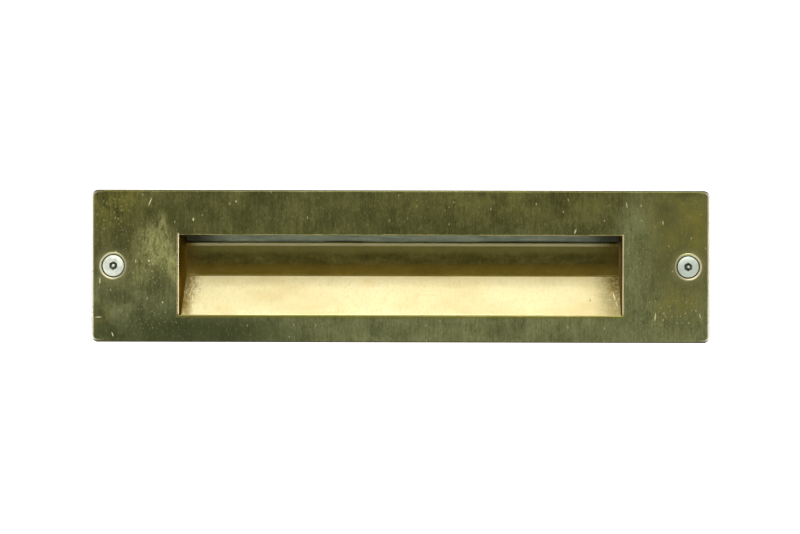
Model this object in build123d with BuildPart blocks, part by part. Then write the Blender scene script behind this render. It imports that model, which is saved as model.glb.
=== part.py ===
"""Recessed brass letter plate with an inward-swinging sprung flap and a short mail hopper.

Frame: millimetres, +Z up, the front faces -Y and +Y goes into the wall.
The origin is the centre of the plate on the wall surface, which is the back of the gasket.
"""

import os
from math import hypot

from build123d import *

# ---------------------------------------------------------------- driving dimensions

PLATE_WIDTH = 325.0
PLATE_HEIGHT = 80.0
PLATE_THICKNESS = 4.0
PLATE_CORNER_RADIUS = 3.5
PLATE_EDGE_ROUND = 1.0

APERTURE_WIDTH = 233.0
APERTURE_TOP = 16.3
APERTURE_BOTTOM = -25.6
APERTURE_EDGE_ROUND = 0.6

GASKET_THICKNESS = 1.5
GASKET_INSET = 1.5
GASKET_HOLE_RADIUS = 3.7
GASKET_CORNER_RADIUS = 2.5
GASKET_OPENING_WIDTH = 268.0
GASKET_OPENING_TOP = 33.0
GASKET_OPENING_BOTTOM = -36.3

SCREW_SPACING = 302.0
SCREW_LENGTH = 40.0
SCREW_RADIUS = 3.0
SCREW_NECK_RADIUS = 2.7
SCREW_HEAD_RADIUS = 5.7
SCREW_HEAD_RECESS = 0.3
SCREW_HEAD_LAND = 0.4
SCREW_SINK_RADIUS = 6.1
SCREW_HOLE_RADIUS = 3.3
SCREW_HEAD_EDGE = 0.25
SCREW_TIP_CHAMFER = 0.8
SCREW_THREAD_START = 0.6
SCREW_SOCKET_AF = 4.0
SCREW_SOCKET_DEPTH = 2.4
SCREW_PIN_RADIUS = 0.95
SCREW_PIN_HEIGHT = 1.9
SCREW_PIN_ROUND = 0.55

FLAP_SHEET = 2.0
FLAP_WIDTH = 232.0
FLAP_FACE_DEPTH = 21.0
FLAP_CREASE_Z = -4.6
FLAP_TOP_Z = 12.9
FLAP_SHELF_LENGTH = 10.7
FLAP_LIP_HEIGHT = 2.0
FLAP_LIP_GAP = 0.3
FLAP_LIP_DROP = 0.4
FLAP_LIP_BEND = 2.3
FLAP_CREASE_BEND = 0.3
FLAP_TOP_BEND = 0.6
FLAP_SCREW_X = (-96.0, -48.0, 0.0, 48.0, 96.0)
FLAP_SCREW_HOLE_RADIUS = 1.7
FLAP_SCREW_RADIUS = 1.5
FLAP_SCREW_GRIP = 4.5
FLAP_SCREW_END_GAP = 0.5
FLAP_SCREW_HEAD_RADIUS = 2.75
FLAP_SCREW_HEAD_HEIGHT = 3.0
FLAP_SCREW_SOCKET_AF = 2.5
FLAP_SCREW_SOCKET_DEPTH = 1.6

SHAFT_SIDE = 7.6
SHAFT_EDGE_CHAMFER = 0.3
SHAFT_BEHIND_FACE = 5.3
JOURNAL_RADIUS = 3.0
SHAFT_SHOULDER = 116.4
SHAFT_HALF_LENGTH = 139.5
SHAFT_END_CHAMFER = 0.6

CHEEK_SHEET = 2.0
CHEEK_INNER = 117.0
CHEEK_TAB_REACH = 132.0
CHEEK_BEND = 2.2
CHEEK_EDGE_GAP = 0.7
BUSH_RADIUS = 4.0
BUSH_FLANGE_RADIUS = 5.0
BUSH_FLANGE = 1.2
BUSH_BORE_CLEARANCE = 0.05

HOPPER_SHEET = 1.5
HOPPER_DEPTH = 66.0
HOPPER_TOP_Z = 27.0
HOPPER_FLOOR_Z = -34.2
HOPPER_FLANGE = 6.5
HOPPER_BEND = 2.0
HOPPER_NOTCH_Y = 1.0
HOPPER_SCREW_DROP = 3.4
HOPPER_SCREW_RADIUS = 1.5
HOPPER_SCREW_HEAD_RADIUS = 2.6
HOPPER_SCREW_HEAD_HEIGHT = 1.8
HOPPER_SCREW_HEAD_ROUND = 0.9
HOPPER_SCREW_CROSS = (2.6, 0.6, 1.0)

STUD_RADIUS = 2.0
STUD_X = 126.0
STUD_ROWS = (-25.0, 18.0)
STUD_LENGTH = 8.0
STUD_HOLE_RADIUS = 2.25
STUD_WASHER_RADIUS = 4.2
STUD_WASHER = 0.8
STUD_NUT_AF = 7.0
STUD_NUT = 3.2

SPRING_WIRE_RADIUS = 0.5
SPRING_COIL_RADIUS = 5.0
SPRING_TURNS = 6
SPRING_START = 121.0
SPRING_END = 130.0
SPRING_LEG = 17.5
PIN_RADIUS = 2.0
PIN_LENGTH = 10.5
PIN_BEHIND_AXIS = 13.2
PIN_INSET = 0.2
PIN_TO_LEG = 0.05

COLLAR_INNER = 131.2
COLLAR_WIDTH = 7.0
COLLAR_RADIUS = 7.5
COLLAR_CHAMFER = 0.6
LEG_HOLE_RADIUS = 0.65
LEG_DEPTH = 4.0
LEG_END_GAP = 0.5
GRUB_RADIUS = 2.0
GRUB_LENGTH = 4.4
GRUB_SOCKET_AF = 2.0
GRUB_SOCKET_DEPTH = 2.0

BUFFER_X = 70.0
BUFFER_BEHIND_AXIS = 16.5
BUFFER_RADIUS = 5.0
BUFFER_ROUND = 1.2
BUFFER_SCREW_RADIUS = 2.0
BUFFER_SCREW_DEPTH = 8.0
BUFFER_SCREW_HEAD_RADIUS = 3.8
BUFFER_SCREW_HEAD = 2.4
BUFFER_SCREW_CROSS = (4.0, 0.9, 1.3)

END_CHAMFER = 0.5
MOVING_GAP = 0.3
CLEARANCE_HOLE = 0.2
THREAD_FIT = 0.04
OVERCUT = 1.0

# ---------------------------------------------------------------- derived places

PLATE_BACK = -GASKET_THICKNESS
PLATE_FRONT = PLATE_BACK - PLATE_THICKNESS
APERTURE_CENTRE_Z = (APERTURE_TOP + APERTURE_BOTTOM) / 2
APERTURE_HEIGHT = APERTURE_TOP - APERTURE_BOTTOM

FLAP_FACE_Y = PLATE_FRONT + FLAP_FACE_DEPTH
LIP_Y = PLATE_BACK + FLAP_LIP_GAP
LIP_TOP_Z = APERTURE_BOTTOM - FLAP_LIP_DROP
SHELF_END_Y = FLAP_FACE_Y + FLAP_SHELF_LENGTH
SHELF_UNDERSIDE = FLAP_TOP_Z - FLAP_SHEET

AXIS_Y = FLAP_FACE_Y + SHAFT_BEHIND_FACE
AXIS_Z = FLAP_TOP_Z + SHAFT_SIDE / 2

CHEEK_OUTER = CHEEK_INNER + CHEEK_SHEET
CHEEK_TAB_BACK = PLATE_BACK + CHEEK_SHEET
HOPPER_SIDE = CHEEK_OUTER + HOPPER_SHEET
HOPPER_SCREW_Y = (9.0, HOPPER_DEPTH - 10.0)
HOPPER_SCREW_Z = (HOPPER_TOP_Z - HOPPER_SCREW_DROP, HOPPER_FLOOR_Z + HOPPER_SCREW_DROP)
HOPPER_SCREW_PLACES = [(y, z) for y in HOPPER_SCREW_Y for z in HOPPER_SCREW_Z]

CHEEK_BOTTOM = HOPPER_FLOOR_Z + CHEEK_EDGE_GAP
CHEEK_HEIGHT = HOPPER_TOP_Z - HOPPER_FLOOR_Z - 2 * CHEEK_EDGE_GAP
PIN_Y = AXIS_Y + PIN_BEHIND_AXIS
PIN_Z = AXIS_Z - SPRING_COIL_RADIUS + SPRING_WIRE_RADIUS + PIN_RADIUS + PIN_TO_LEG
COLLAR_MIDDLE = COLLAR_INNER + COLLAR_WIDTH / 2
GRUB_Y = AXIS_Y + JOURNAL_RADIUS

OPEN_FACE_Z = AXIS_Z + FLAP_FACE_Y + FLAP_SHEET - AXIS_Y
BUFFER_BOTTOM = OPEN_FACE_Z + MOVING_GAP
BUFFER_PLACES = [(x, AXIS_Y + BUFFER_BEHIND_AXIS) for x in (-BUFFER_X, BUFFER_X)]

SIDES = {"left": -1, "right": 1}
SCREW_X = [side * SCREW_SPACING / 2 for side in SIDES.values()]
STUD_PLACES = [(side * STUD_X, z) for side in SIDES.values() for z in STUD_ROWS]


# ---------------------------------------------------------------- front plate
# Solid brass bar with a rectangular aperture set below the middle and two countersunk holes.

with BuildPart() as front_plate:
    with BuildSketch(Plane.XZ.offset(-PLATE_BACK)):
        RectangleRounded(PLATE_WIDTH, PLATE_HEIGHT, PLATE_CORNER_RADIUS)
        with Locations((0, APERTURE_CENTRE_Z)):
            Rectangle(APERTURE_WIDTH, APERTURE_HEIGHT, mode=Mode.SUBTRACT)
    extrude(amount=PLATE_THICKNESS)
    front_face = front_plate.faces().sort_by(Axis.Y)[0]
    fillet(front_face.outer_wire().edges(), radius=PLATE_EDGE_ROUND)
    front_face = front_plate.faces().sort_by(Axis.Y)[0]
    fillet(front_face.inner_wires()[0].edges(), radius=APERTURE_EDGE_ROUND)
    # Countersinks: a short straight rim, a 90 degree cone that seats the head, a clearance hole.
    sink_rim = PLATE_FRONT + SCREW_HEAD_RECESS
    sink_end = sink_rim + SCREW_SINK_RADIUS - SCREW_HOLE_RADIUS
    for x in SCREW_X:
        with BuildSketch(Plane.XY):
            with BuildLine():
                Polyline(
                    (x, PLATE_FRONT),
                    (x + SCREW_SINK_RADIUS, PLATE_FRONT),
                    (x + SCREW_SINK_RADIUS, sink_rim),
                    (x + SCREW_HOLE_RADIUS, sink_end),
                    (x + SCREW_HOLE_RADIUS, PLATE_BACK),
                    (x, PLATE_BACK),
                    close=True,
                )
            make_face()
        revolve(axis=Axis((x, 0, 0), (0, 1, 0)), mode=Mode.SUBTRACT)

# ---------------------------------------------------------------- gasket
# Rubber sheet between the plate and the wall, open around the hopper and its fixings.

with BuildPart() as wall_gasket:
    with BuildSketch(Plane.XZ):
        RectangleRounded(
            PLATE_WIDTH - 2 * GASKET_INSET,
            PLATE_HEIGHT - 2 * GASKET_INSET,
            GASKET_CORNER_RADIUS,
        )
        with Locations((0, (GASKET_OPENING_TOP + GASKET_OPENING_BOTTOM) / 2)):
            Rectangle(
                GASKET_OPENING_WIDTH,
                GASKET_OPENING_TOP - GASKET_OPENING_BOTTOM,
                mode=Mode.SUBTRACT,
            )
        with Locations(*[(x, 0) for x in SCREW_X]):
            Circle(GASKET_HOLE_RADIUS, mode=Mode.SUBTRACT)
    extrude(amount=GASKET_THICKNESS)

# ---------------------------------------------------------------- wall screws
# M6 x 40 countersunk screws. The neck under the head is undercut, and a pin stands in the
# middle of each hexagon socket, so only a hollow key turns them.

head_top = PLATE_FRONT + SCREW_HEAD_RECESS
head_land = head_top + SCREW_HEAD_LAND
head_end = head_land + SCREW_HEAD_RADIUS - SCREW_NECK_RADIUS
screw_tip = PLATE_FRONT + SCREW_LENGTH
socket_floor = head_top + SCREW_SOCKET_DEPTH

with BuildPart() as wall_screws:
    for x in SCREW_X:
        with BuildSketch(Plane.XY):
            with BuildLine():
                Polyline(
                    (x, head_top),
                    (x + SCREW_HEAD_RADIUS - SCREW_HEAD_EDGE, head_top),
                    (x + SCREW_HEAD_RADIUS, head_top + SCREW_HEAD_EDGE),
                    (x + SCREW_HEAD_RADIUS, head_land),
                    (x + SCREW_NECK_RADIUS, head_end),
                    (x + SCREW_NECK_RADIUS, SCREW_THREAD_START),
                    (x + SCREW_RADIUS, SCREW_THREAD_START),
                    (x + SCREW_RADIUS, screw_tip - SCREW_TIP_CHAMFER),
                    (x + SCREW_RADIUS - SCREW_TIP_CHAMFER, screw_tip),
                    (x, screw_tip),
                    close=True,
                )
            make_face()
        revolve(axis=Axis((x, 0, 0), (0, 1, 0)))
        with BuildSketch(Plane.XZ.offset(-head_top)):
            with Locations((x, 0)):
                RegularPolygon(SCREW_SOCKET_AF / 2, 6, major_radius=False, rotation=30)
        extrude(amount=-SCREW_SOCKET_DEPTH, mode=Mode.SUBTRACT)
    with BuildSketch(Plane.XZ.offset(-socket_floor)):
        with Locations(*[(x, 0) for x in SCREW_X]):
            Circle(SCREW_PIN_RADIUS)
    extrude(amount=SCREW_PIN_HEIGHT)
    pin_tops = wall_screws.faces().filter_by(
        lambda face: abs(face.center().Y - socket_floor + SCREW_PIN_HEIGHT) < MOVING_GAP
        and face.area < 2 * SCREW_PIN_RADIUS * 2 * SCREW_PIN_RADIUS
    )
    fillet(pin_tops.edges(), radius=SCREW_PIN_ROUND)

# ---------------------------------------------------------------- flap
# One bent sheet: a lip behind the plate, a ramp for the fingers, an upright face and a shelf.
# The fold at the top is grooved on the inside, so that it is crisp outside.

with BuildPart() as flap:
    with BuildSketch(Plane.YZ.offset(-FLAP_WIDTH / 2)):
        with BuildLine():
            FilletPolyline(
                (LIP_Y, LIP_TOP_Z - FLAP_LIP_HEIGHT),
                (LIP_Y, LIP_TOP_Z),
                (FLAP_FACE_Y, FLAP_CREASE_Z),
                (FLAP_FACE_Y, FLAP_TOP_Z),
                (SHELF_END_Y, FLAP_TOP_Z),
                radius=(FLAP_LIP_BEND, FLAP_CREASE_BEND, FLAP_TOP_BEND),
            )
            offset(amount=FLAP_SHEET, side=Side.RIGHT, closed=True)
        make_face()
    extrude(amount=FLAP_WIDTH)
    with Locations(*[(x, AXIS_Y, FLAP_TOP_Z) for x in FLAP_SCREW_X]):
        Hole(FLAP_SCREW_HOLE_RADIUS, depth=FLAP_SHEET + OVERCUT)

# ---------------------------------------------------------------- hinge shaft
# Square stainless bar that lies on the flap's shelf and carries it, turned down to a round
# journal at each end.

with BuildPart() as hinge_shaft:
    with BuildSketch(Plane.YZ.offset(-SHAFT_SHOULDER)):
        with Locations((AXIS_Y, AXIS_Z)):
            Rectangle(SHAFT_SIDE, SHAFT_SIDE)
    extrude(amount=2 * SHAFT_SHOULDER)
    chamfer(hinge_shaft.edges(), length=SHAFT_EDGE_CHAMFER)
    with BuildSketch(Plane.YZ.offset(-SHAFT_HALF_LENGTH)):
        with Locations((AXIS_Y, AXIS_Z)):
            Circle(JOURNAL_RADIUS)
    extrude(amount=2 * SHAFT_HALF_LENGTH)
    ends = hinge_shaft.faces().filter_by(Axis.X).sort_by(Axis.X)
    chamfer([*ends[0].edges(), *ends[-1].edges()], length=SHAFT_END_CHAMFER)
    with BuildSketch(Plane.XY.offset(FLAP_TOP_Z)):
        with Locations(*[(x, AXIS_Y) for x in FLAP_SCREW_X]):
            Circle(FLAP_SCREW_RADIUS)
    extrude(amount=FLAP_SCREW_GRIP, mode=Mode.SUBTRACT)

# ---------------------------------------------------------------- flap screws
# M3 cap screws up through the shelf into the shaft.

flap_screw_bottom = SHELF_UNDERSIDE - FLAP_SCREW_HEAD_HEIGHT
flap_socket_floor = flap_screw_bottom + FLAP_SCREW_SOCKET_DEPTH
flap_screw_end = FLAP_TOP_Z + FLAP_SCREW_GRIP - FLAP_SCREW_END_GAP

with BuildPart() as flap_screws:
    with BuildSketch(Plane.XY.offset(flap_screw_bottom)):
        with Locations(*[(x, AXIS_Y) for x in FLAP_SCREW_X]):
            Circle(FLAP_SCREW_HEAD_RADIUS)
            RegularPolygon(FLAP_SCREW_SOCKET_AF / 2, 6, major_radius=False, mode=Mode.SUBTRACT)
    extrude(amount=FLAP_SCREW_HEAD_HEIGHT)
    with BuildSketch(Plane.XY.offset(flap_socket_floor)):
        with Locations(*[(x, AXIS_Y) for x in FLAP_SCREW_X]):
            Circle(FLAP_SCREW_RADIUS - THREAD_FIT)
    extrude(amount=flap_screw_end - flap_socket_floor)

# ---------------------------------------------------------------- cheeks
# Side walls of the hopper: each is an angle whose front tab bolts to the back of the plate.


def make_cheek(side):
    """One side wall with its front tab, bush hole, pin hole, stud holes and tapped holes."""
    with BuildPart() as cheek:
        with BuildSketch(Plane.XY.offset(CHEEK_BOTTOM)):
            with BuildLine():
                FilletPolyline(
                    (side * CHEEK_INNER, HOPPER_DEPTH),
                    (side * CHEEK_INNER, PLATE_BACK),
                    (side * CHEEK_TAB_REACH, PLATE_BACK),
                    radius=CHEEK_BEND,
                )
                offset(
                    amount=CHEEK_SHEET,
                    side=Side.LEFT if side > 0 else Side.RIGHT,
                    closed=True,
                )
            make_face()
        extrude(amount=CHEEK_HEIGHT)
        wall_plane = Plane.YZ.offset(min(side * CHEEK_INNER, side * CHEEK_OUTER))
        with BuildSketch(wall_plane):
            with Locations((AXIS_Y, AXIS_Z)):
                Circle(BUSH_RADIUS)
            with Locations((PIN_Y, PIN_Z)):
                Circle(PIN_RADIUS)
            with Locations(*HOPPER_SCREW_PLACES):
                Circle(HOPPER_SCREW_RADIUS)
        extrude(amount=CHEEK_SHEET, mode=Mode.SUBTRACT)
        with BuildSketch(Plane.XZ.offset(-CHEEK_TAB_BACK)):
            with Locations(*[(side * STUD_X, z) for z in STUD_ROWS]):
                Circle(STUD_HOLE_RADIUS)
        extrude(amount=CHEEK_SHEET, mode=Mode.SUBTRACT)
    return cheek.part


# ---------------------------------------------------------------- hopper top and floor
# Folded channels that wrap over the cheeks from above and below, screwed from the sides.


def make_channel(inside_z, outward):
    """A channel whose web lies at inside_z and whose flanges turn back towards the middle."""
    web_z = inside_z + outward * HOPPER_SHEET
    flange_z = web_z - outward * HOPPER_FLANGE
    with BuildPart() as channel:
        with BuildSketch(Plane.XZ.offset(-HOPPER_DEPTH)):
            with BuildLine():
                FilletPolyline(
                    (-HOPPER_SIDE, flange_z),
                    (-HOPPER_SIDE, web_z),
                    (HOPPER_SIDE, web_z),
                    (HOPPER_SIDE, flange_z),
                    radius=HOPPER_BEND,
                )
                offset(
                    amount=HOPPER_SHEET,
                    side=Side.RIGHT if outward > 0 else Side.LEFT,
                    closed=True,
                )
            make_face()
        extrude(amount=HOPPER_DEPTH - PLATE_BACK)
        # The front corners are cut back to clear the cheeks' tabs.
        notch_depth = HOPPER_NOTCH_Y - PLATE_BACK
        notch_width = HOPPER_SIDE - CHEEK_INNER + OVERCUT
        for side in SIDES.values():
            with BuildSketch(Plane.XY.offset(min(flange_z, web_z) - OVERCUT)):
                with Locations((side * (CHEEK_INNER + notch_width / 2), PLATE_BACK + notch_depth / 2)):
                    Rectangle(notch_width, notch_depth)
            extrude(amount=HOPPER_FLANGE + 2 * OVERCUT, mode=Mode.SUBTRACT)
        screw_z = inside_z - outward * HOPPER_SCREW_DROP
        with BuildSketch(Plane.YZ.offset(-HOPPER_SIDE)):
            with Locations(*[(y, screw_z) for y in HOPPER_SCREW_Y]):
                Circle(HOPPER_SCREW_RADIUS + CLEARANCE_HOLE)
        extrude(amount=2 * HOPPER_SIDE, mode=Mode.SUBTRACT)
        if outward > 0:
            with BuildSketch(Plane.XY.offset(inside_z)):
                with Locations(*BUFFER_PLACES):
                    Circle(BUFFER_SCREW_RADIUS + CLEARANCE_HOLE)
            extrude(amount=HOPPER_SHEET, mode=Mode.SUBTRACT)
    return channel.part


# ---------------------------------------------------------------- hopper screws
# M3 pan-head screws through the channel flanges into the tapped cheeks.

cross_length, cross_width, cross_depth = HOPPER_SCREW_CROSS
shank_length = HOPPER_SIDE + END_CHAMFER - CHEEK_INNER

with BuildPart() as hopper_screws:
    for side in SIDES.values():
        head_start = min(side * HOPPER_SIDE, side * (HOPPER_SIDE + HOPPER_SCREW_HEAD_HEIGHT))
        shank_start = min(side * CHEEK_INNER, side * (CHEEK_INNER + shank_length))
        with BuildSketch(Plane.YZ.offset(head_start)):
            with Locations(*HOPPER_SCREW_PLACES):
                Circle(HOPPER_SCREW_HEAD_RADIUS)
        extrude(amount=HOPPER_SCREW_HEAD_HEIGHT)
        with BuildSketch(Plane.YZ.offset(shank_start)):
            with Locations(*HOPPER_SCREW_PLACES):
                Circle(HOPPER_SCREW_RADIUS - THREAD_FIT)
        extrude(amount=shank_length)
        head_rims = hopper_screws.faces().filter_by(Axis.X).sort_by(Axis.X)
        head_count = len(HOPPER_SCREW_PLACES)
        outer_faces = head_rims[:head_count] if side < 0 else head_rims[-head_count:]
        fillet([face.edges()[0] for face in outer_faces], radius=HOPPER_SCREW_HEAD_ROUND)
        # Cross recesses in the heads.
        with BuildSketch(Plane.YZ.offset(side * (HOPPER_SIDE + HOPPER_SCREW_HEAD_HEIGHT))):
            with Locations(*HOPPER_SCREW_PLACES):
                Rectangle(cross_length, cross_width)
                Rectangle(cross_width, cross_length)
        extrude(amount=-side * cross_depth, mode=Mode.SUBTRACT)

# ---------------------------------------------------------------- shaft bushes
# Flanged plain bearings pushed into the cheeks from outside.


def make_bush(side):
    """A flanged bush whose flange sits on the cheek's outer face."""
    with BuildPart() as bush:
        with BuildSketch(Plane.YZ.offset(side * CHEEK_INNER)):
            with Locations((AXIS_Y, AXIS_Z)):
                Circle(BUSH_RADIUS)
                Circle(JOURNAL_RADIUS + BUSH_BORE_CLEARANCE, mode=Mode.SUBTRACT)
        extrude(amount=side * (CHEEK_SHEET + BUSH_FLANGE))
        with BuildSketch(Plane.YZ.offset(side * CHEEK_OUTER)):
            with Locations((AXIS_Y, AXIS_Z)):
                Circle(BUSH_FLANGE_RADIUS)
                Circle(JOURNAL_RADIUS + BUSH_BORE_CLEARANCE, mode=Mode.SUBTRACT)
        extrude(amount=side * BUSH_FLANGE)
    return bush.part


# ---------------------------------------------------------------- spring collars
# Collars clamped on the journals; the outer leg of each spring sits in a hole in the collar.


def make_collar(side):
    """A collar with a blind leg hole in its inner face and a tapped hole across it."""
    with BuildPart() as collar:
        with BuildSketch(Plane.YZ.offset(side * COLLAR_INNER)):
            with Locations((AXIS_Y, AXIS_Z)):
                Circle(COLLAR_RADIUS)
                Circle(JOURNAL_RADIUS, mode=Mode.SUBTRACT)
        extrude(amount=side * COLLAR_WIDTH)
        rims = collar.edges().filter_by(GeomType.CIRCLE).filter_by(
            lambda edge: edge.radius > JOURNAL_RADIUS + THREAD_FIT
        )
        chamfer(rims, length=COLLAR_CHAMFER)
        with BuildSketch(Plane.YZ.offset(side * COLLAR_INNER)):
            with Locations((AXIS_Y, AXIS_Z - SPRING_COIL_RADIUS)):
                Circle(LEG_HOLE_RADIUS)
        extrude(amount=side * (LEG_DEPTH + LEG_END_GAP), mode=Mode.SUBTRACT)
        with BuildSketch(Plane.XZ.offset(-AXIS_Y)):
            with Locations((side * COLLAR_MIDDLE, AXIS_Z)):
                Circle(GRUB_RADIUS)
        extrude(amount=-COLLAR_RADIUS - OVERCUT, mode=Mode.SUBTRACT)
    return collar.part


with BuildPart() as collar_grub_screws:
    for side in SIDES.values():
        with BuildSketch(Plane.XZ.offset(-GRUB_Y)):
            with Locations((side * COLLAR_MIDDLE, AXIS_Z)):
                Circle(GRUB_RADIUS - THREAD_FIT)
        extrude(amount=-GRUB_LENGTH)
        with BuildSketch(Plane.XZ.offset(-GRUB_Y - GRUB_LENGTH)):
            with Locations((side * COLLAR_MIDDLE, AXIS_Z)):
                RegularPolygon(GRUB_SOCKET_AF / 2, 6, major_radius=False)
        extrude(amount=GRUB_SOCKET_DEPTH, mode=Mode.SUBTRACT)

# ---------------------------------------------------------------- return springs
# Torsion springs: the inner leg bears up against a pin in the cheek, the outer leg is in the collar.


def make_spring(side):
    """A torsion spring around one journal, with one straight leg at each end."""
    coil_length = SPRING_END - SPRING_START
    with BuildPart() as spring:
        with BuildLine() as coil:
            Helix(
                coil_length / SPRING_TURNS,
                coil_length,
                SPRING_COIL_RADIUS,
                center=(-SPRING_START, AXIS_Y, AXIS_Z),
                direction=(-1, 0, 0),
            )
        start_of_coil = coil.line @ 0
        end_of_coil = coil.line @ 1
        start_direction = coil.line % 0
        with BuildSketch(Plane(origin=start_of_coil, z_dir=start_direction)):
            Circle(SPRING_WIRE_RADIUS)
        sweep(is_frenet=True)
        with BuildSketch(Plane(origin=start_of_coil, z_dir=-start_direction)):
            Circle(SPRING_WIRE_RADIUS)
        extrude(amount=SPRING_LEG)
        with Locations(end_of_coil):
            Sphere(SPRING_WIRE_RADIUS)
        with BuildSketch(Plane(origin=end_of_coil, z_dir=(-1, 0, 0))):
            Circle(SPRING_WIRE_RADIUS)
        extrude(amount=COLLAR_INNER + LEG_DEPTH - SPRING_END)
        if side > 0:
            mirror(about=Plane.YZ)
            split(bisect_by=Plane.YZ, keep=Keep.TOP)
    return spring.part


# ---------------------------------------------------------------- spring pins

with BuildPart() as spring_pins:
    for side in SIDES.values():
        with BuildSketch(Plane.YZ.offset(side * (CHEEK_INNER + PIN_INSET))):
            with Locations((PIN_Y, PIN_Z)):
                Circle(PIN_RADIUS)
        extrude(amount=side * PIN_LENGTH)
    tips = spring_pins.faces().filter_by(Axis.X).sort_by(Axis.X)
    chamfer([*tips[0].edges(), *tips[-1].edges()], length=END_CHAMFER)

# ---------------------------------------------------------------- plate studs, washers and nuts
# M4 studs welded to the back of the plate hold the cheek tabs.

with BuildPart() as plate_studs:
    with BuildSketch(Plane.XZ.offset(-PLATE_BACK)):
        with Locations(*STUD_PLACES):
            Circle(STUD_RADIUS)
    extrude(amount=-STUD_LENGTH)
    stud_ends = plate_studs.faces().filter_by(Axis.Y).sort_by(Axis.Y)[-len(STUD_PLACES):]
    chamfer([face.edges()[0] for face in stud_ends], length=END_CHAMFER)

with BuildPart() as stud_washers:
    with BuildSketch(Plane.XZ.offset(-CHEEK_TAB_BACK)):
        with Locations(*STUD_PLACES):
            Circle(STUD_WASHER_RADIUS)
            Circle(STUD_HOLE_RADIUS, mode=Mode.SUBTRACT)
    extrude(amount=-STUD_WASHER)

with BuildPart() as stud_nuts:
    with BuildSketch(Plane.XZ.offset(-CHEEK_TAB_BACK - STUD_WASHER)):
        with Locations(*STUD_PLACES):
            RegularPolygon(STUD_NUT_AF / 2, 6, major_radius=False)
            Circle(STUD_RADIUS + THREAD_FIT, mode=Mode.SUBTRACT)
    extrude(amount=-STUD_NUT)

# ---------------------------------------------------------------- stop buffers
# Rubber buffers under the hopper top that the upright face meets when the flap is fully open.

with BuildPart() as stop_buffers:
    with BuildSketch(Plane.XY.offset(BUFFER_BOTTOM)):
        with Locations(*BUFFER_PLACES):
            Circle(BUFFER_RADIUS)
    extrude(amount=HOPPER_TOP_Z - BUFFER_BOTTOM)
    lower_faces = stop_buffers.faces().filter_by(Axis.Z).sort_by(Axis.Z)[:len(BUFFER_PLACES)]
    fillet([face.edges()[0] for face in lower_faces], radius=BUFFER_ROUND)
    with BuildSketch(Plane.XY.offset(HOPPER_TOP_Z)):
        with Locations(*BUFFER_PLACES):
            Circle(BUFFER_SCREW_RADIUS)
    extrude(amount=-BUFFER_SCREW_DEPTH, mode=Mode.SUBTRACT)

buffer_head_bottom = HOPPER_TOP_Z + HOPPER_SHEET
buffer_head_top = buffer_head_bottom + BUFFER_SCREW_HEAD
cross_length, cross_width, cross_depth = BUFFER_SCREW_CROSS

with BuildPart() as buffer_screws:
    with BuildSketch(Plane.XY.offset(buffer_head_bottom)):
        with Locations(*BUFFER_PLACES):
            Circle(BUFFER_SCREW_HEAD_RADIUS)
    extrude(amount=BUFFER_SCREW_HEAD)
    upper_faces = buffer_screws.faces().filter_by(Axis.Z).sort_by(Axis.Z)[-len(BUFFER_PLACES):]
    fillet([face.edges()[0] for face in upper_faces], radius=BUFFER_ROUND)
    with BuildSketch(Plane.XY.offset(buffer_head_top - cross_depth)):
        with Locations(*BUFFER_PLACES):
            Circle(BUFFER_SCREW_RADIUS - THREAD_FIT)
    extrude(amount=HOPPER_TOP_Z - BUFFER_SCREW_DEPTH + END_CHAMFER - buffer_head_top + cross_depth)
    with BuildSketch(Plane.XY.offset(buffer_head_top)):
        with Locations(*BUFFER_PLACES):
            Rectangle(cross_length, cross_width)
            Rectangle(cross_width, cross_length)
    extrude(amount=-cross_depth, mode=Mode.SUBTRACT)

# ---------------------------------------------------------------- checks of the layout

lip_reach = hypot(AXIS_Y - LIP_Y, AXIS_Z - LIP_TOP_Z + FLAP_LIP_HEIGHT)
assert AXIS_Z - lip_reach > HOPPER_FLOOR_Z + MOVING_GAP, "the lip would sweep into the hopper floor"

# ---------------------------------------------------------------- parts

parts = {
    "front_plate": front_plate.part,
    "wall_gasket": wall_gasket.part,
    "wall_screws": wall_screws.part,
    "flap": flap.part,
    "hinge_shaft": hinge_shaft.part,
    "flap_screws": flap_screws.part,
    "hopper_top": make_channel(HOPPER_TOP_Z, 1),
    "hopper_floor": make_channel(HOPPER_FLOOR_Z, -1),
    "hopper_screws": hopper_screws.part,
    "collar_grub_screws": collar_grub_screws.part,
    "spring_pins": spring_pins.part,
    "plate_studs": plate_studs.part,
    "stud_washers": stud_washers.part,
    "stud_nuts": stud_nuts.part,
    "stop_buffers": stop_buffers.part,
    "buffer_screws": buffer_screws.part,
}
for side_name, side_sign in SIDES.items():
    parts[f"cheek_{side_name}"] = make_cheek(side_sign)
    parts[f"shaft_bush_{side_name}"] = make_bush(side_sign)
    parts[f"spring_collar_{side_name}"] = make_collar(side_sign)
    parts[f"return_spring_{side_name}"] = make_spring(side_sign)

os.makedirs("parts", exist_ok=True)
for name, part in parts.items():
    part.label = name
    export_step(part, f"parts/{name}.step")
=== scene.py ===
"""Looks for the recessed brass letter plate: materials, finer springs and screws, light and camera."""

import math

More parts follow.
